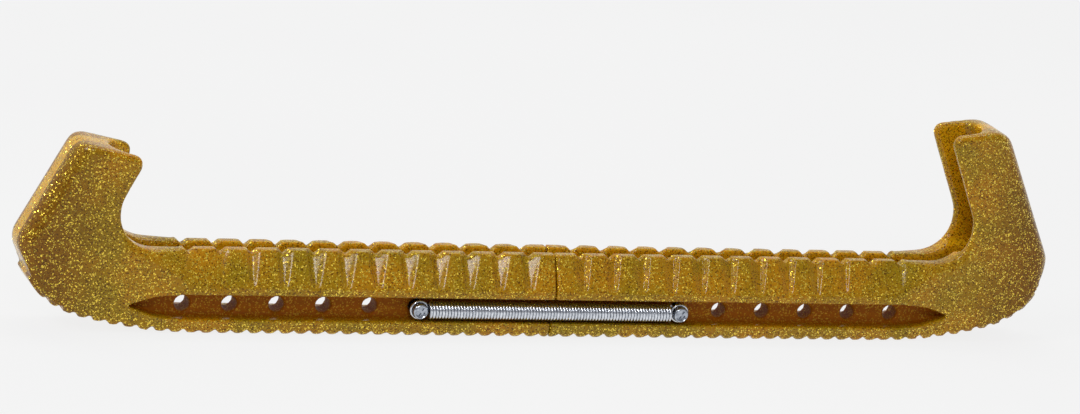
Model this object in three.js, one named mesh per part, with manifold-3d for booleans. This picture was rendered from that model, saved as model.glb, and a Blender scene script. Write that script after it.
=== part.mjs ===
// Two-piece blade guard for a figure skate: a heel half and a toe half that butt at mid-length, each
// one moulding of rail, end cup and ribbed tread, pulled together by two extension springs whose
// loops hang on screwed posts. Millimetres, +Z up, +X towards the toe. The origin is on the floor
// under the butt joint, midway between the side walls.
import * as THREE from 'three';
import { ConvexGeometry } from 'three/addons/geometries/ConvexGeometry.js';
import { mergeVertices } from 'three/addons/utils/BufferGeometryUtils.js';
import Module from 'manifold-3d';

const wasm = await Module();
wasm.setup();

// ---- driving dimensions ----
const SEAM_GAP = 0.3; // between the two butted faces
const FIT_GAP = 0.3; // between separate pieces that bear on each other
const BEYOND = 8; // how far a cutter runs past the surface that it cuts

const RAIL_TOP = 26.4; // height of the side walls
const RAIL_TOP_HALF = 5.6; // half width across the walls at the top
const FOOT_HALF = 10.5; // half width at the foot of the flared walls
const FOOT_TOP = 15.8;
const FOOT_BOTTOM = 13;
const TREAD_HALF = 8;
const TREAD_EDGE = 0.8; // chamfer along the tread

const SLOT_HALF = 2.5; // the skate blade stands in this slot
const SLOT_FLOOR = 15.5;
const SLOT_END = 152; // from the seam

const CUP_LEAN = 0.5; // the end wall leans inwards by this much for each unit of height
const CUP_REACH = 185.7; // from the seam to the end wall's line, where that line would meet the floor
const CUP_HALF = 9.5;
const CUP_CORNER = 6.5; // plan radius of the cup's outer corners
const CUP_BELL = 6; // profile radius from the tread's end into the end wall
const CUP_NECK_START = 117; // from the seam, at the rail's top: the rail widens into the cup from here
const CUP_NECK_END = 134;
const MOUTH_X = 148.3; // where the line of the cup's mouth meets the line of the rail's top
const MOUTH_LEAN = 0.466; // the mouth's lean, for each unit of height
const MOUTH_FILLET = 11.7; // profile radius from the mouth into the rail
// of each cup: height at the sharp corner of end wall and top, fall of the top towards the mouth for
// each unit of length, profile radius of that corner, and thickness of the end wall along the guard
const HEEL_CUP = { top: 59.4, fall: 0.2, edge: 5, wall: 12.6 };
const TOE_CUP = { top: 71.8, fall: 0.13, edge: 10, wall: 8.6 };
const MOUTH_EDGE = 3; // profile radius at the top of the mouth

const POCKET_HALF = 6;
const POCKET_FLOOR = 30;

const CHIN_START = 112; // where the tread starts to lift, from the seam
const CHIN_BENDS = [ // radius of each tangent arc, and the slope in degrees at which it ends
  [160, 14],
  [33.3, 34.5],
  [20.3, 62],
];
const TREAD_PROUD = 1.1; // how far the tread stands out from the moulding behind it

const NOTCH_PITCH = 10; // marks at which the guard may be cut shorter
const NOTCH_COUNT = 12;
const NOTCH_FIRST = 8.5; // first notch from the seam
const NOTCH_HALF = 1.65;
const NOTCH_DEPTH = 1.6;
const FLUTE_TOP = { broad: -3.6, floor: 1.7, steep: 3.2, depth: 1.9 }; // a full flute at the rail's top
const FLUTE_FOOT = { broad: -1.1, floor: 0.6, steep: 1.7, depth: 0.9 }; // edges are from the notch
const FLUTE_FADE = 6; // flutes, counted from the cup, over which they grow to full size

const BUMPS_PER_NOTCH = 2;
const VALLEY_HALF = 1.45;
const DEEP_VALLEY = 1.8; // in line with the notches
const SHALLOW_VALLEY = 1.4; // between them
const PLATE_LENGTH = 7; // the smooth stretch at the tread's end

const GROOVE_WEB = 3.8; // half thickness of the web between the two side grooves
const GROOVE_FULL = 120; // from the seam to where a groove starts to taper
const GROOVE_END = 137.5;

const HOLE_COUNT = 6;
const HOLE_PITCH = 15;
const HOLE_FIRST = 43.5; // the hole that holds the post
const HOLE_PLAY = 0.65; // radial room round the post
const HOLE_Z = 8.3;

const WIRE = 1.0;
const COIL_OUTER = 2.9; // outer radius of the spring's coil
const POST_RADIUS = 1.85;
const LOOP_PLAY = 0.35; // radial room between a post and the loop that hangs on it
const POST_BORE_END = 2; // how far past the middle plane the bore reaches
const SCREW_RADIUS = 1.0;
const BORE_PLAY = 0.35; // radial room between the screw's shank and the post's bore
const SCREW_END = 1; // how far past the middle plane the shank reaches
const HEAD_LAP = 0.25; // how far a head reaches past the inside of the loop that it holds
const HEAD_THICK = 1.5;
const RECESS_WIDTH = 0.7;
const RECESS_LENGTH = 2.8;
const RECESS_DEPTH = 0.8;

// ---- worked out from the above ----
const LOOP_RADIUS = POST_RADIUS + LOOP_PLAY + WIRE / 2; // to the middle of the loop's wire
const LOOP_OUTER = LOOP_RADIUS + WIRE / 2;
const HOLE_RADIUS = POST_RADIUS + HOLE_PLAY;
const POST_BORE = SCREW_RADIUS + BORE_PLAY;
const HEAD_RADIUS = POST_RADIUS + LOOP_PLAY + HEAD_LAP;
const SPRING_Y = GROOVE_WEB + FIT_GAP + COIL_OUTER; // spring axis, from the middle plane
const LOOP_X = HOLE_FIRST + POST_RADIUS + FIT_GAP - LOOP_RADIUS + WIRE / 2;
const COIL_HALF = LOOP_X - LOOP_RADIUS;
const HEAD_Y = SPRING_Y + WIRE / 2 + FIT_GAP; // inner face of the heads
const GROOVE_BOTTOM = HOLE_Z - Math.max(LOOP_OUTER, COIL_OUTER) - FIT_GAP;
const ACROSS = FOOT_HALF + BEYOND;
const DEGREE = Math.PI / 180;
const FACET = 9; // degrees turned by each facet of a rounding

// ---- solids ----
const solid = (geometry) => {
  const bare = geometry.clone();
  bare.deleteAttribute('normal');
  bare.deleteAttribute('uv');
  const welded = mergeVertices(bare, 1e-4);
  return new wasm.Manifold(
    new wasm.Mesh({
      numProp: 3,
      vertProperties: new Float32Array(welded.attributes.position.array),
      triVerts: new Uint32Array(welded.index.array),
    }),
  );
};

const namedMesh = (name, body, material) => {
  const mesh = body.getMesh();
  const geometry = new THREE.BufferGeometry();
  geometry.setAttribute('position', new THREE.BufferAttribute(mesh.vertProperties, 3));
  geometry.setIndex(new THREE.BufferAttribute(mesh.triVerts, 1));
  geometry.computeVertexNormals();
  const part = new THREE.Mesh(geometry, material);
  part.name = name;
  return part;
};

const shapeOf = (points) => new THREE.Shape(points.map(([a, b]) => new THREE.Vector2(a, b)));

const extruded = (points, depth) =>
  new THREE.ExtrudeGeometry(shapeOf(points), { depth, bevelEnabled: false });

// an outline in X and Z, as a plate across the guard from y0 to y1
const plateXZ = (points, y0, y1) => {
  const geometry = extruded(points, y1 - y0);
  geometry.rotateX(Math.PI / 2);
  geometry.translate(0, y1, 0);
  return solid(geometry);
};

// an outline in Y and Z, drawn along the guard from x0 to x1
const barYZ = (points, x0, x1) => {
  const geometry = extruded(points, x1 - x0);
  geometry.rotateX(Math.PI / 2);
  geometry.rotateZ(Math.PI / 2);
  geometry.translate(x0, 0, 0);
  return solid(geometry);
};

// an outline in X and Y, raised from z0 to z1, each level moved towards the seam by lean * height
const raisedXY = (points, z0, z1, lean) => {
  const geometry = extruded(points, z1 - z0);
  geometry.translate(0, 0, z0);
  const shear = new THREE.Matrix4().set(1, 0, -lean, 0, 0, 1, 0, 0, 0, 0, 1, 0, 0, 0, 0, 1);
  geometry.applyMatrix4(shear);
  return solid(geometry);
};

const box = (x0, x1, y0, y1, z0, z1) => {
  const geometry = new THREE.BoxGeometry(x1 - x0, y1 - y0, z1 - z0);
  geometry.translate((x0 + x1) / 2, (y0 + y1) / 2, (z0 + z1) / 2);
  return solid(geometry);
};

// a rod across the guard; CylinderGeometry already lies along Y
const rod = (radius, x, z, y0, y1) => {
  const geometry = new THREE.CylinderGeometry(radius, radius, y1 - y0, 24);
  geometry.translate(x, (y0 + y1) / 2, z);
  return solid(geometry);
};

const joined = (solids) => solids.reduce((all, next) => all.add(next));

// ---- outlines ----
// corners given as [a, b, radius]; each one with a radius is replaced by its tangent arc
const rounded = (corners) => {
  const points = [];
  corners.forEach(([a, b, radius], i) => {
    const before = corners[(i + corners.length - 1) % corners.length];
    const after = corners[(i + 1) % corners.length];
    if (!radius) {
      points.push([a, b]);
      return;
    }
    const here = new THREE.Vector2(a, b);
    const back = new THREE.Vector2(before[0], before[1]).sub(here).normalize();
    const on = new THREE.Vector2(after[0], after[1]).sub(here).normalize();
    const half = Math.acos(THREE.MathUtils.clamp(back.dot(on), -1, 1)) / 2;
    const centre = back.clone().add(on).normalize().multiplyScalar(radius / Math.sin(half)).add(here);
    const start = back.clone().multiplyScalar(radius / Math.tan(half)).add(here).sub(centre);
    const turn = (Math.PI - 2 * half) * Math.sign(on.cross(back));
    const steps = Math.max(3, Math.ceil(Math.abs(turn) / (FACET * DEGREE)));
    for (let s = 0; s <= steps; s += 1) {
      const p = start.clone().rotateAround(new THREE.Vector2(0, 0), (turn * s) / steps).add(centre);
      points.push([p.x, p.y]);
    }
  });
  return points;
};

// the underside: flat to CHIN_START, then tangent arcs. `inset` moves the whole line into the
// material, which shortens each radius by as much.
const chin = (inset) => {
  const points = [[CHIN_START, inset]];
  let slope = 0;
  for (const [radius, endSlope] of CHIN_BENDS) {
    const steps = Math.ceil((endSlope - slope) / (FACET / 2));
    const [x, z] = points[points.length - 1];
    for (let s = 1; s <= steps; s += 1) {
      const angle = (slope + ((endSlope - slope) * s) / steps) * DEGREE;
      const along = (radius - inset) * (Math.sin(angle) - Math.sin(slope * DEGREE));
      const up = (radius - inset) * (Math.cos(slope * DEGREE) - Math.cos(angle));
      points.push([x + along, z + up]);
    }
    slope = endSlope;
  }
  return points;
};

// place and slope of the tread's face at a given run along it from the seam
const treadAt = (run) => {
  let left = run - CHIN_START;
  if (left <= 0) return { x: run, z: 0, slope: 0 };
  let [x, z, slope] = [CHIN_START, 0, 0];
  for (const [radius, endSlope] of CHIN_BENDS) {
    const bend = Math.min(left / radius / DEGREE, endSlope - slope);
    const next = (slope + bend) * DEGREE;
    x += radius * (Math.sin(next) - Math.sin(slope * DEGREE));
    z += radius * (Math.cos(slope * DEGREE) - Math.cos(next));
    slope += bend;
    left -= bend * DEGREE * radius;
  }
  return { x, z, slope };
};

const treadRun = () => {
  let [run, slope] = [CHIN_START, 0];
  for (const [radius, endSlope] of CHIN_BENDS) {
    run += (endSlope - slope) * DEGREE * radius;
    slope = endSlope;
  }
  return run;
};

// side profile of one half, built on the +X side
const profile = (cup) => {
  const topX = CUP_REACH - CUP_LEAN * cup.top;
  const mouthAtZero = MOUTH_X + MOUTH_LEAN * RAIL_TOP;
  const mouthTopX =
    (mouthAtZero - MOUTH_LEAN * (cup.top - cup.fall * topX)) / (1 + MOUTH_LEAN * cup.fall);
  const mouthTopZ = cup.top - cup.fall * (topX - mouthTopX);
  const underside = chin(TREAD_PROUD).map(([x, z]) => [x, z, 0]);
  const [lastX, lastZ] = underside.at(-1);
  const run = 1 / Math.tan(CHIN_BENDS.at(-1)[1] * DEGREE);
  const bellZ = (CUP_REACH - lastX + run * lastZ) / (run + CUP_LEAN);
  return rounded([
    [SEAM_GAP / 2, TREAD_PROUD, 0],
    ...underside,
    [CUP_REACH - CUP_LEAN * bellZ, bellZ, CUP_BELL],
    [topX, cup.top, cup.edge],
    [mouthTopX, mouthTopZ, MOUTH_EDGE],
    [MOUTH_X, RAIL_TOP, MOUTH_FILLET],
    [SEAM_GAP / 2, RAIL_TOP, 0],
  ]);
};

const CUP_END = Math.max(...profile(HEEL_CUP).map(([x]) => x));

const mirrored = (half) => [...half, ...half.map(([a, b]) => [-a, b]).reverse()];

// ---- one half ----
const section = (foot, top) =>
  mirrored([
    [TREAD_HALF, 0],
    [(TREAD_HALF + foot) / 2, FOOT_BOTTOM / 2],
    [foot, FOOT_BOTTOM],
    [foot, FOOT_TOP],
    [top, RAIL_TOP],
  ]);

const RAIL_SECTION = section(FOOT_HALF, RAIL_TOP_HALF);
const CUP_SECTION = section(CUP_HALF, CUP_HALF);

// the rail, the neck in which its section turns into the cup's, and the cup below the rail's top
const lowerBody = () => {
  const lap = FIT_GAP; // the three stretches run into each other by this much
  const neck = [
    ...[CUP_NECK_START - lap, CUP_NECK_START].map((x) => [x, RAIL_SECTION]),
    ...[CUP_NECK_END, CUP_NECK_END + lap].map((x) => [x, CUP_SECTION]),
  ];
  const corners = neck.flatMap(([x, outline]) => outline.map(([y, z]) => new THREE.Vector3(x, y, z)));
  return joined([
    barYZ(RAIL_SECTION, SEAM_GAP / 2, CUP_NECK_START),
    solid(new ConvexGeometry(corners)),
    barYZ(CUP_SECTION, CUP_NECK_END, CUP_END + BEYOND),
  ]);
};

const cupBlock = (cup) => {
  const shift = CUP_LEAN * RAIL_TOP; // the neck is placed at the rail's top
  const plan = rounded([
    [CUP_NECK_START + shift, -RAIL_TOP_HALF, 0],
    [CUP_NECK_END + shift, -CUP_HALF, 0],
    [CUP_REACH, -CUP_HALF, CUP_CORNER],
    [CUP_REACH, CUP_HALF, CUP_CORNER],
    [CUP_NECK_END + shift, CUP_HALF, 0],
    [CUP_NECK_START + shift, RAIL_TOP_HALF, 0],
  ]);
  return raisedXY(plan, RAIL_TOP - FIT_GAP, cup.top + BEYOND, CUP_LEAN);
};

// rounds the corners of the end below the leaning stretch
const endRounding = (cup) => {
  const plan = rounded([
    [SEAM_GAP / 2, -ACROSS, 0],
    [CUP_NECK_END, -ACROSS, 0],
    [CUP_NECK_END, -CUP_HALF, 0],
    [CUP_END, -CUP_HALF, CUP_CORNER],
    [CUP_END, CUP_HALF, CUP_CORNER],
    [CUP_NECK_END, CUP_HALF, 0],
    [CUP_NECK_END, ACROSS, 0],
    [SEAM_GAP / 2, ACROSS, 0],
  ]);
  return raisedXY(plan, 0, cup.top + BEYOND, 0);
};

const treadStrip = () => {
  const face = chin(0);
  const back = chin(GROOVE_BOTTOM).reverse();
  const strip = [[SEAM_GAP / 2, 0], ...face, ...back, [SEAM_GAP / 2, GROOVE_BOTTOM]];
  const edge = mirrored([
    [TREAD_HALF - TREAD_EDGE, 0],
    [TREAD_HALF, TREAD_EDGE],
    [TREAD_HALF, RAIL_TOP],
  ]);
  const whole = plateXZ(strip, -TREAD_HALF, TREAD_HALF);
  return whole.intersect(barYZ(edge, SEAM_GAP / 2, CUP_END + BEYOND));
};

const treadValleys = () => {
  const pitch = NOTCH_PITCH / BUMPS_PER_NOTCH;
  const lastRun = treadRun() - PLATE_LENGTH;
  const first = Math.floor(NOTCH_FIRST / pitch);
  const cutters = [];
  for (let i = -first; NOTCH_FIRST + i * pitch <= lastRun; i += 1) {
    const { x, z, slope } = treadAt(NOTCH_FIRST + i * pitch);
    const deep = i % BUMPS_PER_NOTCH === 0;
    const depth = deep ? DEEP_VALLEY : SHALLOW_VALLEY;
    const reach = VALLEY_HALF * 2;
    const cut = extruded([[0, depth], [-reach, -depth], [reach, -depth]], 2 * ACROSS);
    cut.rotateX(Math.PI / 2);
    cut.translate(0, ACROSS, 0);
    cut.rotateY(-slope * DEGREE);
    cut.translate(x, 0, z);
    cutters.push(solid(cut));
  }
  return cutters;
};

const bladeSlot = () =>
  box(-BEYOND, SLOT_END, -SLOT_HALF, SLOT_HALF, SLOT_FLOOR, POCKET_FLOOR + FIT_GAP);

const cupPocket = (cup) => {
  const end = CUP_REACH - cup.wall;
  const plan = rounded([
    [CUP_NECK_START, -POCKET_HALF, 0],
    [end, -POCKET_HALF, POCKET_HALF * 0.98],
    [end, POCKET_HALF, POCKET_HALF * 0.98],
    [CUP_NECK_START, POCKET_HALF, 0],
  ]);
  return raisedXY(plan, POCKET_FLOOR, cup.top + BEYOND, CUP_LEAN);
};

const sideGroove = (side) => {
  const middle = (GROOVE_BOTTOM + FOOT_BOTTOM) / 2;
  const lens = [
    [-BEYOND, GROOVE_BOTTOM],
    [GROOVE_FULL, GROOVE_BOTTOM],
    [(GROOVE_FULL + GROOVE_END) / 2, GROOVE_BOTTOM + 1],
    [GROOVE_END, middle],
    [(GROOVE_FULL + GROOVE_END) / 2, FOOT_BOTTOM - 1],
    [GROOVE_FULL, FOOT_BOTTOM],
    [-BEYOND, FOOT_BOTTOM],
  ];
  return side > 0 ? plateXZ(lens, GROOVE_WEB, ACROSS) : plateXZ(lens, -ACROSS, -GROOVE_WEB);
};

const postHoles = () =>
  Array.from({ length: HOLE_COUNT }, (_, i) =>
    rod(HOLE_RADIUS, HOLE_FIRST + i * HOLE_PITCH, HOLE_Z, -ACROSS, ACROSS),
  );

const notchX = (i) => NOTCH_FIRST + i * NOTCH_PITCH;

const notches = () =>
  Array.from({ length: NOTCH_COUNT }, (_, i) => {
    const apex = [notchX(i), RAIL_TOP - NOTCH_DEPTH];
    const left = [notchX(i) - NOTCH_HALF * 2, RAIL_TOP + NOTCH_DEPTH];
    const right = [notchX(i) + NOTCH_HALF * 2, RAIL_TOP + NOTCH_DEPTH];
    return plateXZ([apex, right, left], -ACROSS, ACROSS);
  });

// a recess down one side wall under a notch, widest at the rail's top. Its floor line lies towards the
// cup, so one flank is broad and the other is steep.
const flute = (x, side, size) => {
  const rise = 1.2; // the cutter is carried this far past the rail's top, as a share of the flute
  const carried = (foot, top) => foot + (top - foot) * rise;
  const level = (z, face, at) => [
    [x + at.broad * size, ACROSS, z],
    [x + at.broad * size, face, z],
    [x + at.floor * size, face - at.depth * size, z],
    [x + at.steep * size, face, z],
    [x + at.steep * size, ACROSS, z],
  ];
  const edges = Object.keys(FLUTE_TOP);
  const top = Object.fromEntries(edges.map((k) => [k, carried(FLUTE_FOOT[k], FLUTE_TOP[k])]));
  const points = [
    ...level(FOOT_TOP, FOOT_HALF, FLUTE_FOOT),
    ...level(carried(FOOT_TOP, RAIL_TOP), carried(FOOT_HALF, RAIL_TOP_HALF), top),
  ];
  return solid(new ConvexGeometry(points.map(([a, b, c]) => new THREE.Vector3(a, b * side, c))));
};

const flutes = () =>
  Array.from({ length: NOTCH_COUNT }, (_, i) => {
    const size = Math.min(1, (NOTCH_COUNT - i + 1) / FLUTE_FADE);
    return [flute(notchX(i), 1, size), flute(notchX(i), -1, size)];
  }).flat();

const guardHalf = (cup) => {
  const outside = plateXZ(profile(cup), -ACROSS, ACROSS);
  const moulding = lowerBody().add(cupBlock(cup)).intersect(outside).intersect(endRounding(cup));
  const cutters = [
    ...treadValleys(),
    bladeSlot(),
    cupPocket(cup),
    sideGroove(1),
    sideGroove(-1),
    ...postHoles(),
    ...notches(),
    ...flutes(),
  ];
  return moulding.add(treadStrip()).subtract(joined(cutters));
};

// ---- springs and posts ----
const spring = (side) => {
  const bore = COIL_OUTER - WIRE;
  const tube = new THREE.LatheGeometry(
    [
      new THREE.Vector2(bore, -COIL_HALF),
      new THREE.Vector2(COIL_OUTER, -COIL_HALF),
      new THREE.Vector2(COIL_OUTER, COIL_HALF),
      new THREE.Vector2(bore, COIL_HALF),
      new THREE.Vector2(bore, -COIL_HALF),
    ],
    24,
  );
  tube.rotateZ(-Math.PI / 2);
  tube.translate(0, side * SPRING_Y, HOLE_Z);
  const y = side * SPRING_Y;
  const half = WIRE / 2;
  const loops = [-1, 1].map((end) => {
    const loop = new THREE.TorusGeometry(LOOP_RADIUS, half, 8, 28);
    loop.rotateX(Math.PI / 2);
    loop.translate(end * LOOP_X, y, HOLE_Z);
    // where the wire leaves the last turn and starts the loop
    const [inner, outer] = [end * (COIL_HALF - WIRE), end * (COIL_HALF + WIRE)];
    const [x0, x1] = [Math.min(inner, outer), Math.max(inner, outer)];
    const leaving = box(x0, x1, y - half, y + half, HOLE_Z + bore, HOLE_Z + COIL_OUTER);
    return solid(loop).add(leaving);
  });
  return joined([solid(tube), ...loops]);
};

const post = (x) => {
  const barrel = rod(POST_RADIUS, x, HOLE_Z, FIT_GAP - HEAD_Y, HEAD_Y + HEAD_THICK / 2);
  const head = rod(HEAD_RADIUS, x, HOLE_Z, HEAD_Y, HEAD_Y + HEAD_THICK);
  return barrel.add(head).subtract(rod(POST_BORE, x, HOLE_Z, -ACROSS, POST_BORE_END));
};

const screw = (x) => {
  const outer = -HEAD_Y - HEAD_THICK;
  const head = rod(HEAD_RADIUS, x, HOLE_Z, outer, -HEAD_Y);
  const shank = rod(SCREW_RADIUS, x, HOLE_Z, -HEAD_Y - HEAD_THICK / 3, SCREW_END);
  const [long, thin] = [RECESS_LENGTH / 2, RECESS_WIDTH / 2];
  const bottom = outer + RECESS_DEPTH;
  const level = box(x - long, x + long, outer - BEYOND, bottom, HOLE_Z - thin, HOLE_Z + thin);
  const upright = box(x - thin, x + thin, outer - BEYOND, bottom, HOLE_Z - long, HOLE_Z + long);
  return head.add(shank).subtract(level).subtract(upright);
};

// ---- the assembly ----
const glitterPlastic = new THREE.MeshStandardMaterial({ color: 0xa27a14, roughness: 0.3, metalness: 0.1 });
const springSteel = new THREE.MeshStandardMaterial({ color: 0xb9c0c8, roughness: 0.25, metalness: 1 });
const platedSteel = new THREE.MeshStandardMaterial({ color: 0x9aa1a8, roughness: 0.35, metalness: 1 });

const heelHalf = guardHalf(HEEL_CUP).mirror([1, 0, 0]);
const toeHalf = guardHalf(TOE_CUP);

const guard = new THREE.Group();
guard.add(namedMesh('heel_guard', heelHalf, glitterPlastic));
guard.add(namedMesh('toe_guard', toeHalf, glitterPlastic));
guard.add(namedMesh('right_spring', spring(-1), springSteel));
guard.add(namedMesh('left_spring', spring(1), springSteel));
guard.add(namedMesh('heel_post', post(-HOLE_FIRST), platedSteel));
guard.add(namedMesh('toe_post', post(HOLE_FIRST), platedSteel));
guard.add(namedMesh('heel_screw', screw(-HOLE_FIRST), platedSteel));
guard.add(namedMesh('toe_screw', screw(HOLE_FIRST), platedSteel));

export default guard;
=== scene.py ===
"""A sprung guard for a figure-skate blade: two glitter-plastic halves, two pull springs and their screwed posts."""

import logging
import math
from dataclasses import dataclass, field
from enum import Enum

import bmesh
import bpy
from mathutils import Matrix, Vector


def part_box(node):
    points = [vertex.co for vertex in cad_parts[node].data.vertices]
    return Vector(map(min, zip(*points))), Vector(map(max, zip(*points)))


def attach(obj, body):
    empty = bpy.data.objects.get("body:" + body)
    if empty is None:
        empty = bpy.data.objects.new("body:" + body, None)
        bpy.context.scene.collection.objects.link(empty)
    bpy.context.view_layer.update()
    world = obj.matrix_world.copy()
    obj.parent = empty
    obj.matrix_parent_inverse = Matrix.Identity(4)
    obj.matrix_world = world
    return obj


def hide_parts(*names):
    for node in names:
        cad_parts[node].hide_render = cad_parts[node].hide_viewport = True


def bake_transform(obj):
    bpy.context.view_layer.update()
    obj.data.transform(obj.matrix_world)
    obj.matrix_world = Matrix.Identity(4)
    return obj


log = logging.getLogger("blade_guard")
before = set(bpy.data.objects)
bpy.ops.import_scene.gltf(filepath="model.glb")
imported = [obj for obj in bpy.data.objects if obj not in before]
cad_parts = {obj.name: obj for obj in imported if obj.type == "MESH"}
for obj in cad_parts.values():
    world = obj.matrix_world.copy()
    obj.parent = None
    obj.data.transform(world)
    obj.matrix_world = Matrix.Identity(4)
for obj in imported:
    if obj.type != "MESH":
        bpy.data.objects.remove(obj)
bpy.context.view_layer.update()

MM = 0.001


class Side(Enum):
    """The side of the guard a spring lies on, as the sign of Y."""

    RIGHT = -1
    LEFT = 1


class End(Enum):
    """The end of the guard a piece belongs to, as the sign of X."""

    HEEL = -1
    TOE = 1

    @property
    def body(self) -> str:
        """The frame body of this end."""
        return self.name.lower()


# ---- mesh helpers -------------------------------------------------------------------------------


def new_piece(name: str, bm: bmesh.types.BMesh, smooth: bool = True) -> bpy.types.Object:
    """Turns a bmesh into a piece that stands at the origin.

    Args:
        name: The piece's name.
        bm: The shape in metres, freed here.
        smooth: Whether its faces are shaded smooth.

    Returns:
        The new object, linked to the scene.
    """
    mesh = bpy.data.meshes.new(name)
    bmesh.ops.recalc_face_normals(bm, faces=bm.faces)
    for face in bm.faces:
        face.smooth = smooth
    bm.to_mesh(mesh)
    bm.free()
    piece = bpy.data.objects.new(name, mesh)
    bpy.context.scene.collection.objects.link(piece)
    return piece


def baked(piece: bpy.types.Object) -> bmesh.types.BMesh:
    """Applies a piece's modifiers.

    Args:
        piece: An object with modifiers, removed here.

    Returns:
        A bmesh of the finished shape.
    """
    graph = bpy.context.evaluated_depsgraph_get()
    bm = bmesh.new()
    bm.from_object(piece, graph)
    mesh = piece.data
    bpy.data.objects.remove(piece)
    bpy.data.meshes.remove(mesh)
    return bm


def ring(bm: bmesh.types.BMesh, radius: float, sides: int, place: Matrix) -> list:
    """Adds an open circle of edges.

    Args:
        bm: The bmesh to add to.
        radius: Its radius in metres.
        sides: How many edges it has.
        place: Where its centre and plane go; it is drawn in the local XY plane.

    Returns:
        Its vertices and edges.
    """
    made = bmesh.ops.create_circle(bm, cap_ends=False, radius=radius, segments=sides, matrix=place)
    verts = made["verts"]
    edges = list({edge for vert in verts for edge in vert.link_edges})
    return [*verts, *edges]


def spun(bm: bmesh.types.BMesh, profile: list, centre: Vector, axis: Vector, turns: int) -> None:
    """Spins an open profile once round an axis into a closed skin.

    Args:
        bm: The bmesh to add to.
        profile: Points of the profile, the first and last on the axis.
        centre: A point on the axis.
        axis: The axis' direction.
        turns: How many steps the full turn takes.
    """
    verts = [bm.verts.new(point) for point in profile]
    edges = [bm.edges.new(pair) for pair in zip(verts, verts[1:])]
    bmesh.ops.spin(
        bm, geom=[*verts, *edges], cent=centre, axis=axis, angle=2 * math.pi, steps=turns, use_merge=True
    )
    bmesh.ops.remove_doubles(bm, verts=bm.verts, dist=1e-6)


# ---- node helpers -------------------------------------------------------------------------------


class Nodes:
    """A short way to wire a material's nodes."""

    def __init__(self, name: str) -> None:
        """Starts a node material with one Principled shader.

        Args:
            name: The material's name.
        """
        self.material = bpy.data.materials.new(name)
        self.material.use_nodes = True
        self.tree = self.material.node_tree
        self.shader = self.tree.nodes["Principled BSDF"]

    def add(self, kind: str, inputs: dict | None = None, **settings: object) -> bpy.types.Node:
        """Adds a node.

        Args:
            kind: The node's type.
            inputs: Socket name or index to a value, or to a socket to link from.
            **settings: The node's own properties.

        Returns:
            The new node.
        """
        node = self.tree.nodes.new(kind)
        for key, value in settings.items():
            setattr(node, key, value)
        for key, value in (inputs or {}).items():
            self.feed(node.inputs[key], value)
        return node

    def feed(self, socket: bpy.types.NodeSocket, value: object) -> None:
        """Links or sets one input.

        Args:
            socket: The input.
            value: An output socket to link from, or a plain value.
        """
        if isinstance(value, bpy.types.NodeSocket):
            self.tree.links.new(value, socket)
        else:
            socket.default_value = value

    def dress(self, inputs: dict) -> None:
        """Links or sets inputs of the Principled shader.

        Args:
            inputs: Socket name to a value, or to a socket to link from.
        """
        for key, value in inputs.items():
            self.feed(self.shader.inputs[key], value)

    def math(self, operation: str, a: object, b: object = 0.0) -> bpy.types.NodeSocket:
        """Adds a Math node and returns its result."""
        return self.add("ShaderNodeMath", {0: a, 1: b}, operation=operation).outputs[0]

    def between(self, value: object, low: float, high: float, soft: float) -> bpy.types.NodeSocket:
        """Gives 1 where a value lies between two limits and 0 outside.

        Args:
            value: The socket to test.
            low: The lower limit.
            high: The upper limit.
            soft: The width of the change at each limit.

        Returns:
            The mask's socket.
        """
        smooth = {"interpolation_type": "SMOOTHSTEP"}
        rise = self.add("ShaderNodeMapRange", {0: value, 1: low - soft, 2: low + soft}, **smooth)
        fall = self.add("ShaderNodeMapRange", {0: value, 1: high - soft, 2: high + soft, 3: 1.0, 4: 0.0}, **smooth)
        return self.math("MULTIPLY", rise.outputs[0], fall.outputs[0])

    def both(self, a: object, b: object) -> bpy.types.NodeSocket:
        """Multiplies two masks."""
        return self.math("MULTIPLY", a, b)

    def mix(self, factor: object, a: object, b: object) -> bpy.types.NodeSocket:
        """Mixes two colours and returns the result."""
        node = self.add("ShaderNodeMix", {0: factor, 6: a, 7: b}, data_type="RGBA")
        return node.outputs[2]

    def ramp(self, value: object, stops: list) -> bpy.types.NodeSocket:
        """Maps a value to colours.

        Args:
            value: The socket to map.
            stops: Pairs of position and colour.

        Returns:
            The colour socket.
        """
        node = self.add("ShaderNodeValToRGB", {0: value})
        band = node.color_ramp
        band.interpolation = "LINEAR"
        while len(band.elements) < len(stops):
            band.elements.new(1.0)
        for element, (position, colour) in zip(band.elements, stops):
            element.position = position
            element.color = colour
        return node.outputs[0]


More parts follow.
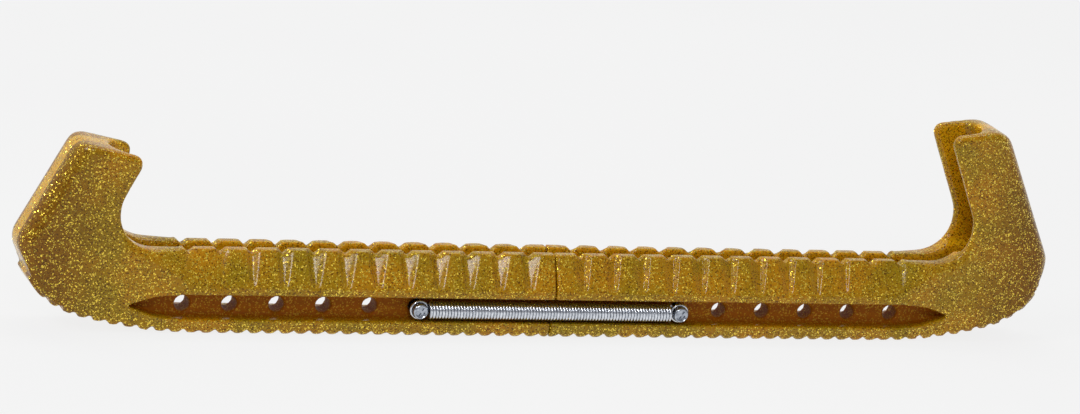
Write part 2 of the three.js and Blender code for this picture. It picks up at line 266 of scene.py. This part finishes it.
@dataclass(frozen=True)
class GlitterPlastic:
    """Clear amber plastic filled with small gold flakes under a glossy skin.

    The plain colours are the body's, apart from these: `deep` is partly the thick moulding's deeper tone and partly
    painted shade on the cup ends, the colour inside the slot and the pockets is painted light standing in for
    daylight that reaches through the walls, and `groove` is painted shade in the side grooves.
    """

    flake: float = 0.36 * MM
    amber: tuple = (0.38, 0.172, 0.002, 1.0)
    olive: tuple = (0.26, 0.158, 0.002, 1.0)
    # deep: partly the thick moulding's own deeper tone, partly painted shade on the cup ends.
    deep: tuple = (0.165, 0.064, 0.001, 1.0)
    # Painted light: a lighter colour for the insides of the slot and the pockets.
    lit: tuple = (0.52, 0.265, 0.004, 1.0)
    brown: tuple = (0.07, 0.022, 0.001, 1.0)
    gold: tuple = (1.0, 0.72, 0.08, 1.0)
    # groove: painted shade, a darker red-brown put in the side grooves where shade falls.
    groove: tuple = (0.30, 0.085, 0.0006, 1.0)
    tilt: float = 1.2
    body_tilt: float = 0.12
    dark_share: float = 0.12
    bright_from: float = 0.84
    groove_clear: float = 0.7
    groove_dull: float = 0.55
    deep_tone_and_shade_strength: float = 0.85
    coat: float = 0.25
    end_lean: float = 0.5

    def body_colour(self, n: Nodes, where: bpy.types.Node, in_groove: bpy.types.NodeSocket) -> bpy.types.NodeSocket:
        """Colours the clear plastic by place, with painted shade on the cup ends and in the side grooves,
        and painted light inside the slot and the pockets.

        Args:
            n: The material's nodes.
            where: The split Object coordinates.
            in_groove: The mask of the side grooves.

        Returns:
            The colour socket.
        """
        x, y, z = where.outputs
        along, across = n.math("ABSOLUTE", x), n.math("ABSOLUTE", y)
        clouds = n.add("ShaderNodeTexNoise", {"Vector": self.place(n), "Scale": 70.0, "Detail": 3.0})
        patches = n.add("ShaderNodeMapRange", {0: clouds.outputs[0], 1: 0.35, 2: 0.65}).outputs[0]
        body = n.mix(patches, self.amber, self.olive)
        # Cup ends: a deeper, darker colour, partly the thick moulding's tone and partly painted shade.
        solid_end = n.between(along, 152.0 * MM, 1.0, 14.0 * MM)
        body = n.mix(n.both(solid_end, self.deep_tone_and_shade_strength), body, self.deep)
        leaning = n.math("ADD", along, n.both(z, self.end_lean))
        # Painted light: inside the slot and the pockets the colour is made lighter, standing in for light coming
        # through the walls.
        in_pocket = n.both(n.between(across, -1.0, 6.3 * MM, 0.3 * MM), n.between(z, 28.0 * MM, 1.0, 1.5 * MM))
        in_pocket = n.both(in_pocket, n.between(leaning, -1.0, 174.0 * MM, 0.8 * MM))
        in_slot = n.both(n.between(across, -1.0, 2.8 * MM, 0.25 * MM), n.between(z, 14.5 * MM, 1.0, 0.5 * MM))
        body = n.mix(n.math("MAXIMUM", in_pocket, in_slot), body, self.lit)
        # Painted shade: the side grooves take the darker groove colour.
        return n.mix(in_groove, body, self.groove)

    @staticmethod
    def place(n: Nodes) -> bpy.types.NodeSocket:
        """Adds the Object coordinates."""
        return n.add("ShaderNodeTexCoord").outputs["Object"]

    def material(self) -> bpy.types.Material:
        """Builds the material."""
        n = Nodes("glitter_plastic")
        place = self.place(n)
        where = n.add("ShaderNodeSeparateXYZ", {0: place})
        across = n.math("ABSOLUTE", where.outputs[1])
        in_groove = n.both(
            n.between(where.outputs[2], 4.6 * MM, 12.4 * MM, 0.5 * MM),
            n.between(across, -1.0, 6.4 * MM, 1.6 * MM),
        )
        body = self.body_colour(n, where, in_groove)

        cells = n.add("ShaderNodeTexVoronoi", {"Vector": place, "Scale": 1 / self.flake})
        chance = n.add("ShaderNodeSeparateColor", {0: cells.outputs["Color"]})
        clear = n.math("SUBTRACT", 1.0, n.both(in_groove, self.groove_clear))
        dark = n.both(n.between(chance.outputs[0], -1.0, self.dark_share, 0.01), clear)
        bright = n.both(n.between(chance.outputs[0], self.bright_from, 2.0, 0.02), clear)
        speckled = n.mix(n.both(dark, 0.75), body, self.brown)
        speckled = n.mix(n.both(bright, 0.9), speckled, self.gold)
        shine = n.add("ShaderNodeMapRange", {0: chance.outputs[1], 3: 0.14, 4: 0.30}).outputs[0]

        normal = n.add("ShaderNodeNewGeometry").outputs["Normal"]
        amount = n.math("ADD", n.both(bright, self.tilt), self.body_tilt)
        centred = {0: cells.outputs["Color"], 1: (0.5, 0.5, 0.5)}
        lean = n.add("ShaderNodeVectorMath", centred, operation="SUBTRACT").outputs[0]
        scaled = n.add("ShaderNodeVectorMath", {0: lean, 3: amount}, operation="SCALE").outputs[0]
        summed = n.add("ShaderNodeVectorMath", {0: normal, 1: scaled}, operation="ADD").outputs[0]
        facing = n.add("ShaderNodeVectorMath", {0: summed}, operation="NORMALIZE").outputs[0]

        n.dress(
            {
                "Base Color": speckled,
                "Metallic": n.both(bright, 0.95),
                "Roughness": n.math("MAXIMUM", shine, n.both(in_groove, self.groove_dull)),
                "Normal": facing,
                "Specular IOR Level": 0.1,
                "Subsurface Weight": 0.3,
                "Subsurface Radius": (1.0, 0.5, 0.05),
                "Subsurface Scale": 4 * MM,
                "Coat Weight": n.both(n.math("SUBTRACT", 1.0, in_groove), self.coat),
                "Coat Roughness": 0.16,
                "Coat IOR": 1.5,
            }
        )
        return n.material


@dataclass(frozen=True)
class BrightSteel:
    """Drawn or plated steel, bright with fine marks."""

    name: str
    colour: tuple = (0.78, 0.81, 0.86, 1.0)
    dull: tuple = (0.55, 0.58, 0.63, 1.0)
    roughness: tuple = (0.16, 0.32)
    grain: float = 900.0

    def material(self) -> bpy.types.Material:
        """Builds the material."""
        n = Nodes(self.name)
        place = n.add("ShaderNodeTexCoord").outputs["Object"]
        marks = n.add("ShaderNodeTexNoise", {"Vector": place, "Scale": self.grain, "Detail": 4.0}).outputs[0]
        wear = n.add("ShaderNodeMapRange", {0: marks, 1: 0.35, 2: 0.65}).outputs[0]
        low, high = self.roughness
        shine = n.add("ShaderNodeMapRange", {0: marks, 3: low, 4: high}).outputs[0]
        n.dress({"Base Color": n.mix(wear, self.colour, self.dull), "Roughness": shine, "Metallic": 1.0})
        return n.material


# ---- the guard ----------------------------------------------------------------------------------


@dataclass
class GuardHalf:
    """One moulded half: slotted rail with flutes and notches, tread ribs, and the cup at its end."""

    end: End
    finish: bpy.types.Material
    grain: float = 0.56 * MM
    rail_soften: int = 1
    cup_soften: int = 18
    cup_from: float = 121.0 * MM
    cup_above: float = 20.0 * MM
    neck_soften: int = 72
    neck_from: float = 106.0 * MM
    neck_low: float = 14.0 * MM
    neck_high: float = 50.0 * MM

    @property
    def node(self) -> str:
        """The CAD node this piece stands for."""
        return f"{self.end.body}_guard"

    def fine_shell(self) -> bmesh.types.BMesh:
        """Makes an even, fine skin of the moulding.

        Returns:
            A bmesh of small quads.
        """
        bm = bmesh.new()
        bm.from_mesh(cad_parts[self.node].data)
        bmesh.ops.remove_doubles(bm, verts=bm.verts, dist=1e-6)
        piece = new_piece("shell", bm, smooth=False)
        remesh = piece.modifiers.new("skin", "REMESH")
        remesh.mode = "VOXEL"
        remesh.voxel_size = self.grain
        return baked(piece)

    def soften(self, bm: bmesh.types.BMesh) -> None:
        """Rounds the moulded edges: a little on the rail and tread, generously on the cup.

        Args:
            bm: The fine skin.
        """
        all_ways = {"use_axis_x": True, "use_axis_y": True, "use_axis_z": True}
        cup = [v for v in bm.verts if abs(v.co.x) > self.cup_from and v.co.z > self.cup_above]
        for verts, passes in ((bm.verts, self.rail_soften), (cup, self.cup_soften)):
            for _ in range(passes):
                bmesh.ops.smooth_vert(bm, verts=verts, factor=0.5, **all_ways)
        self.fair_neck(bm)

    def fair_neck(self, bm: bmesh.types.BMesh) -> None:
        """Fairs the outside of the side walls where the rail widens into the cup, across the guard only.

        Args:
            bm: The fine skin.
        """
        bm.normal_update()
        outside = [
            v
            for v in bm.verts
            if self.neck_from < abs(v.co.x)
            and self.neck_low < v.co.z < self.neck_high
            and abs(v.co.y) > 4.6 * MM
            and v.normal.y * v.co.y > 0.3 * abs(v.co.y)
        ]
        for _ in range(self.neck_soften):
            bmesh.ops.smooth_vert(bm, verts=outside, factor=0.5, use_axis_y=True)

    def build(self) -> bpy.types.Object:
        """Builds and dresses the half.

        Returns:
            The finished piece.
        """
        bm = self.fine_shell()
        self.soften(bm)
        piece = new_piece(f"{self.end.body}_moulding", bm)
        piece.data.materials.append(self.finish)
        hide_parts(self.node)
        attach(piece, self.end.body)
        return piece


@dataclass
class PullSpring:
    """A close-wound pull spring with a full loop at each end, lying in a side groove."""

    side: Side
    finish: bpy.types.Material
    wire: float = 1.0 * MM
    loop_radius: float = 2.7 * MM
    slack: float = 0.97
    lap: float = 0.4
    turn_steps: int = 22
    wire_sides: int = 8
    loop_sides: int = 10
    loop_steps: int = 40

    @property
    def node(self) -> str:
        """The CAD node this piece stands for."""
        return f"{self.side.name.lower()}_spring"

    def wind(self, bm: bmesh.types.BMesh, reach: float, around: Vector, radius: float) -> None:
        """Winds the coil.

        Args:
            bm: The bmesh to add to.
            reach: How far the wire's centreline runs to each side of the middle, in metres.
            around: The middle of the coil's axis.
            radius: From the axis to the wire's centreline.
        """
        turns = round(2 * reach / self.wire)
        pitch = 2 * reach / turns
        start = Matrix.Translation(around + Vector((-reach, 0.0, radius))) @ Matrix.Rotation(math.pi / 2, 4, "X")
        bmesh.ops.spin(
            bm,
            geom=ring(bm, self.wire / 2 * self.slack, self.wire_sides, start),
            cent=around,
            axis=(1.0, 0.0, 0.0),
            dvec=(pitch / self.turn_steps, 0.0, 0.0),
            angle=2 * math.pi * turns,
            steps=turns * self.turn_steps,
        )

    def loop(self, bm: bmesh.types.BMesh, centre: Vector) -> None:
        """Bends one full end loop.

        Args:
            bm: The bmesh to add to.
            centre: The loop's centre.
        """
        top = centre + Vector((0.0, 0.0, self.loop_radius))
        start = Matrix.Translation(top) @ Matrix.Rotation(math.pi / 2, 4, "Y")
        bmesh.ops.spin(
            bm,
            geom=ring(bm, self.wire / 2 * self.slack, self.loop_sides, start),
            cent=centre,
            axis=(0.0, 1.0, 0.0),
            angle=2 * math.pi,
            steps=self.loop_steps,
            use_merge=True,
        )

    def build(self) -> bpy.types.Object:
        """Winds the coil and its loops.

        Returns:
            The finished piece.
        """
        low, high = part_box(self.node)
        outer = (high[1] - low[1]) / 2
        y = (low[1] + high[1]) / 2
        z = (low[2] + high[2]) / 2
        half_wire = self.wire / 2
        loop_x = high[0] - self.loop_radius - half_wire
        coil = loop_x - self.loop_radius + half_wire * self.lap

        bm = bmesh.new()
        self.wind(bm, coil - half_wire, Vector((0.0, y, z)), outer - half_wire)
        for way in (-1, 1):
            self.loop(bm, Vector((way * loop_x, y, z)))
        open_edges = [edge for edge in bm.edges if edge.is_boundary]
        bmesh.ops.holes_fill(bm, edges=open_edges, sides=self.loop_sides)
        piece = new_piece(f"{self.side.name.lower()}_coil", bm)
        piece.data.materials.append(self.finish)
        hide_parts(self.node)
        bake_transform(piece)
        return piece


@dataclass(frozen=True)
class Pin:
    """The sizes of a headed pin along Y, in metres."""

    inner: float
    outer: float
    neck: float
    shank: float
    head: float
    dish: float

    def outline(self, edge: float) -> list:
        """Draws half of its section.

        Args:
            edge: The size of its broken edges.

        Returns:
            Pairs of radius and Y, from the plain end's middle to the face's.
        """
        way = 1.0 if self.outer > self.inner else -1.0
        return [
            (0.0, self.inner),
            (self.shank - edge / 2, self.inner),
            (self.shank, self.inner + way * edge / 2),
            (self.shank, self.neck),
            (self.head - edge / 2, self.neck),
            (self.head, self.neck + way * edge / 2),
            (self.head, self.outer - way * edge * 1.4),
            (self.head - edge * 0.4, self.outer - way * edge * 0.5),
            (self.head - edge * 1.4, self.outer),
            (self.head * 0.62, self.outer - way * self.dish),
            (0.0, self.outer - way * self.dish * 1.3),
        ]


@dataclass
class ScrewedPost:
    """The post that the two springs hang on at one end, and the screw that closes it."""

    end: End
    finish: bpy.types.Material
    rounds: int = 40
    edge: float = 0.35 * MM
    head: float = 1.5 * MM
    post_shank: float = 1.85 * MM
    screw_shank: float = 1.0 * MM
    post_dish: float = 0.2 * MM
    screw_dish: float = 0.3 * MM
    recess: tuple = (2.9 * MM, 0.8 * MM, 0.8 * MM)
    recess_turned: float = math.radians(28)

    def turned(self, name: str, node: str, pin: Pin) -> bpy.types.Object:
        """Turns a headed pin.

        Args:
            name: The piece's name.
            node: The CAD node whose axis it takes.
            pin: Its sizes.

        Returns:
            The turned piece.
        """
        low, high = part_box(node)
        x = (low[0] + high[0]) / 2
        z = (low[2] + high[2]) / 2
        profile = [Vector((x + radius, y, z)) for radius, y in pin.outline(self.edge)]
        bm = bmesh.new()
        spun(bm, profile, Vector((x, 0.0, z)), Vector((0.0, 1.0, 0.0)), self.rounds)
        return new_piece(name, bm)

    def crossed(self, screw: bpy.types.Object, node: str) -> bpy.types.Object:
        """Cuts a cross recess into a screw's face.

        Args:
            screw: The headed pin.
            node: The CAD node whose axis and face it takes.

        Returns:
            The screw with its recess.
        """
        low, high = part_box(node)
        face = Matrix.Translation(((low[0] + high[0]) / 2, low[1], (low[2] + high[2]) / 2))
        long, thin, deep = self.recess
        bm = bmesh.new()
        for width, height in ((long, thin), (thin, long)):
            stretch = Matrix.Diagonal((width, 2 * deep, height, 1.0))
            place = face @ Matrix.Rotation(self.recess_turned, 4, "Y") @ stretch
            bmesh.ops.create_cube(bm, size=1.0, matrix=place)
        cutter = new_piece("recess", bm, smooth=False)
        cut = screw.modifiers.new("recess", "BOOLEAN")
        cut.operation = "DIFFERENCE"
        cut.solver = "EXACT"
        cut.use_self = True
        cut.object = cutter
        finished = new_piece(screw.name, baked(screw))
        bpy.data.objects.remove(cutter)
        return finished

    def dressed(self, piece: bpy.types.Object, node: str) -> bpy.types.Object:
        """Gives a piece its finish, frame node and body, and returns it."""
        piece.data.materials.append(self.finish)
        piece.data.set_sharp_from_angle(angle=math.radians(40))
        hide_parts(node)
        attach(piece, self.end.body)
        return piece

    def build(self) -> list:
        """Builds the post and its screw.

        Returns:
            Both finished pieces.
        """
        post_node, screw_node = f"{self.end.body}_post", f"{self.end.body}_screw"
        low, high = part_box(post_node)
        wide = (high[0] - low[0]) / 2
        pin = Pin(low[1], high[1], high[1] - self.head, self.post_shank, wide, self.post_dish)
        post = self.turned(f"{self.end.body}_pin", post_node, pin)
        low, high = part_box(screw_node)
        pin = Pin(high[1], low[1], low[1] + self.head, self.screw_shank, wide, self.screw_dish)
        screw = self.turned(f"{self.end.body}_cross_screw", screw_node, pin)
        return [self.dressed(post, post_node), self.dressed(self.crossed(screw, screw_node), screw_node)]


# ---- studio -------------------------------------------------------------------------------------


@dataclass
class Studio:
    """Pale floor, soft light and the camera."""

    target: Vector = field(default_factory=lambda: Vector((-5.32, 0.0, 40.25)) * MM)
    distance: float = 1318.2 * MM
    turned: float = math.radians(21.68)
    raised: float = math.radians(15.7)
    rolled: float = math.radians(7.43)
    lens: float = 141.1
    floor_half: float = 6.0

    def camera(self) -> None:
        """Places the camera."""
        sin_a, cos_a = math.sin(self.turned), math.cos(self.turned)
        sin_e, cos_e = math.sin(self.raised), math.cos(self.raised)
        ahead = Vector((sin_a * cos_e, cos_a * cos_e, -sin_e))
        right = Vector((cos_a, -sin_a, 0.0))
        up = right.cross(ahead)
        x_axis = right * math.cos(self.rolled) + up * math.sin(self.rolled)
        y_axis = up * math.cos(self.rolled) - right * math.sin(self.rolled)
        data = bpy.data.cameras.new("camera")
        data.lens = self.lens
        data.sensor_width = 36.0
        data.sensor_fit = "HORIZONTAL"
        data.clip_start = 0.05
        data.clip_end = 50.0
        camera = bpy.data.objects.new("camera", data)
        turn = Matrix((x_axis, y_axis, -ahead)).transposed().to_4x4()
        camera.matrix_world = Matrix.Translation(self.target - ahead * self.distance) @ turn
        bpy.context.scene.collection.objects.link(camera)
        bpy.context.scene.camera = camera

    def softbox(self, name: str, place: tuple, size: tuple, power: float) -> None:
        """Adds one area light aimed at the guard.

        Args:
            name: The light's name.
            place: Where it stands, in metres.
            size: Its width and height in metres.
            power: Its power in watts.
        """
        data = bpy.data.lights.new(name, "AREA")
        data.shape = "RECTANGLE"
        data.size, data.size_y = size
        data.energy = power
        light = bpy.data.objects.new(name, data)
        light.location = place
        light.rotation_euler = (self.target - Vector(place)).to_track_quat("-Z", "Y").to_euler()
        bpy.context.scene.collection.objects.link(light)

    def floor(self) -> None:
        """Lays the pale, softly glowing floor, which curves up far behind."""
        bm = bmesh.new()
        bmesh.ops.create_grid(bm, x_segments=1, y_segments=1, size=self.floor_half)
        near_end = self.floor_half - 0.1
        far = [edge for edge in bm.edges if all(vert.co.y > near_end for vert in edge.verts)]
        raised = bmesh.ops.extrude_edge_only(bm, edges=far)["geom"]
        verts = [g for g in raised if isinstance(g, bmesh.types.BMVert)]
        bmesh.ops.translate(bm, vec=(0.0, 0.0, self.floor_half), verts=verts)
        edges = [edge for edge in bm.edges if all(vert.co.y > near_end and vert.co.z < 0.1 for vert in edge.verts)]
        bmesh.ops.bevel(bm, geom=edges, offset=2.5, segments=12, profile=0.5, affect="EDGES", material=-1)
        sheet = new_piece("floor", bm)
        n = Nodes("floor")
        place = n.add("ShaderNodeTexCoord").outputs["Object"]
        mottle = n.add("ShaderNodeTexNoise", {"Vector": place, "Scale": 3.0}).outputs[0]
        n.dress(
            {
                "Base Color": n.ramp(mottle, [(0.3, (0.05, 0.05, 0.05, 1.0)), (0.7, (0.06, 0.06, 0.06, 1.0))]),
                "Roughness": 0.9,
                "Specular IOR Level": 0.0,
                "Emission Color": (0.83, 0.83, 0.83, 1.0),
                "Emission Strength": 1.0,
            }
        )
        sheet.data.materials.append(n.material)

    def surroundings(self) -> None:
        """Sets the world: dim in front of the guard and pale behind it."""
        world = bpy.data.worlds.new("studio")
        world.use_nodes = True
        tree = world.node_tree
        background = tree.nodes["Background"]
        around = tree.nodes.new("ShaderNodeTexCoord")
        depth = tree.nodes.new("ShaderNodeSeparateXYZ")
        shift = tree.nodes.new("ShaderNodeMapRange")
        fade = tree.nodes.new("ShaderNodeValToRGB")
        shift.inputs[1].default_value = -1.0
        tree.links.new(around.outputs["Generated"], depth.inputs[0])
        tree.links.new(depth.outputs[1], shift.inputs[0])
        tree.links.new(shift.outputs[0], fade.inputs[0])
        tree.links.new(fade.outputs[0], background.inputs[0])
        stops = ((0.25, (0.30, 0.30, 0.32, 1.0)), (0.62, (0.88, 0.89, 0.9, 1.0)))
        for element, (position, colour) in zip(fade.color_ramp.elements, stops):
            element.position = position
            element.color = colour
        background.inputs[1].default_value = 0.9
        bpy.context.scene.world = world

    def build(self) -> None:
        """Sets floor, lights, world and camera."""
        self.floor()
        self.softbox("key_left", (-1.2, -0.5, 1.2), (0.5, 0.5), 12.0)
        self.softbox("top", (0.1, 0.3, 1.5), (1.2, 0.4), 9.0)
        self.softbox("front_above", (-0.5, -1.7, 1.3), (0.3, 0.3), 9.0)
        self.surroundings()
        bpy.context.scene.view_settings.view_transform = "Standard"
        self.camera()


def main() -> None:
    """Builds the guard and its studio, and reports each piece."""
    logging.basicConfig(level=logging.INFO, format="%(message)s")
    Studio().build()
    plastic = GlitterPlastic().material()
    spring_steel = BrightSteel("spring_steel").material()
    plated_finish = BrightSteel("plated_steel", colour=(0.5, 0.54, 0.6, 1.0), dull=(0.3, 0.33, 0.38, 1.0))
    plated = plated_finish.material()
    pieces = [GuardHalf(end, plastic).build() for end in End]
    pieces += [PullSpring(side, spring_steel).build() for side in Side]
    for end in End:
        pieces += ScrewedPost(end, plated).build()
    for piece in pieces:
        log.info("%s: %d faces", piece.name, len(piece.data.polygons))


if __name__ == "__main__":
    main()
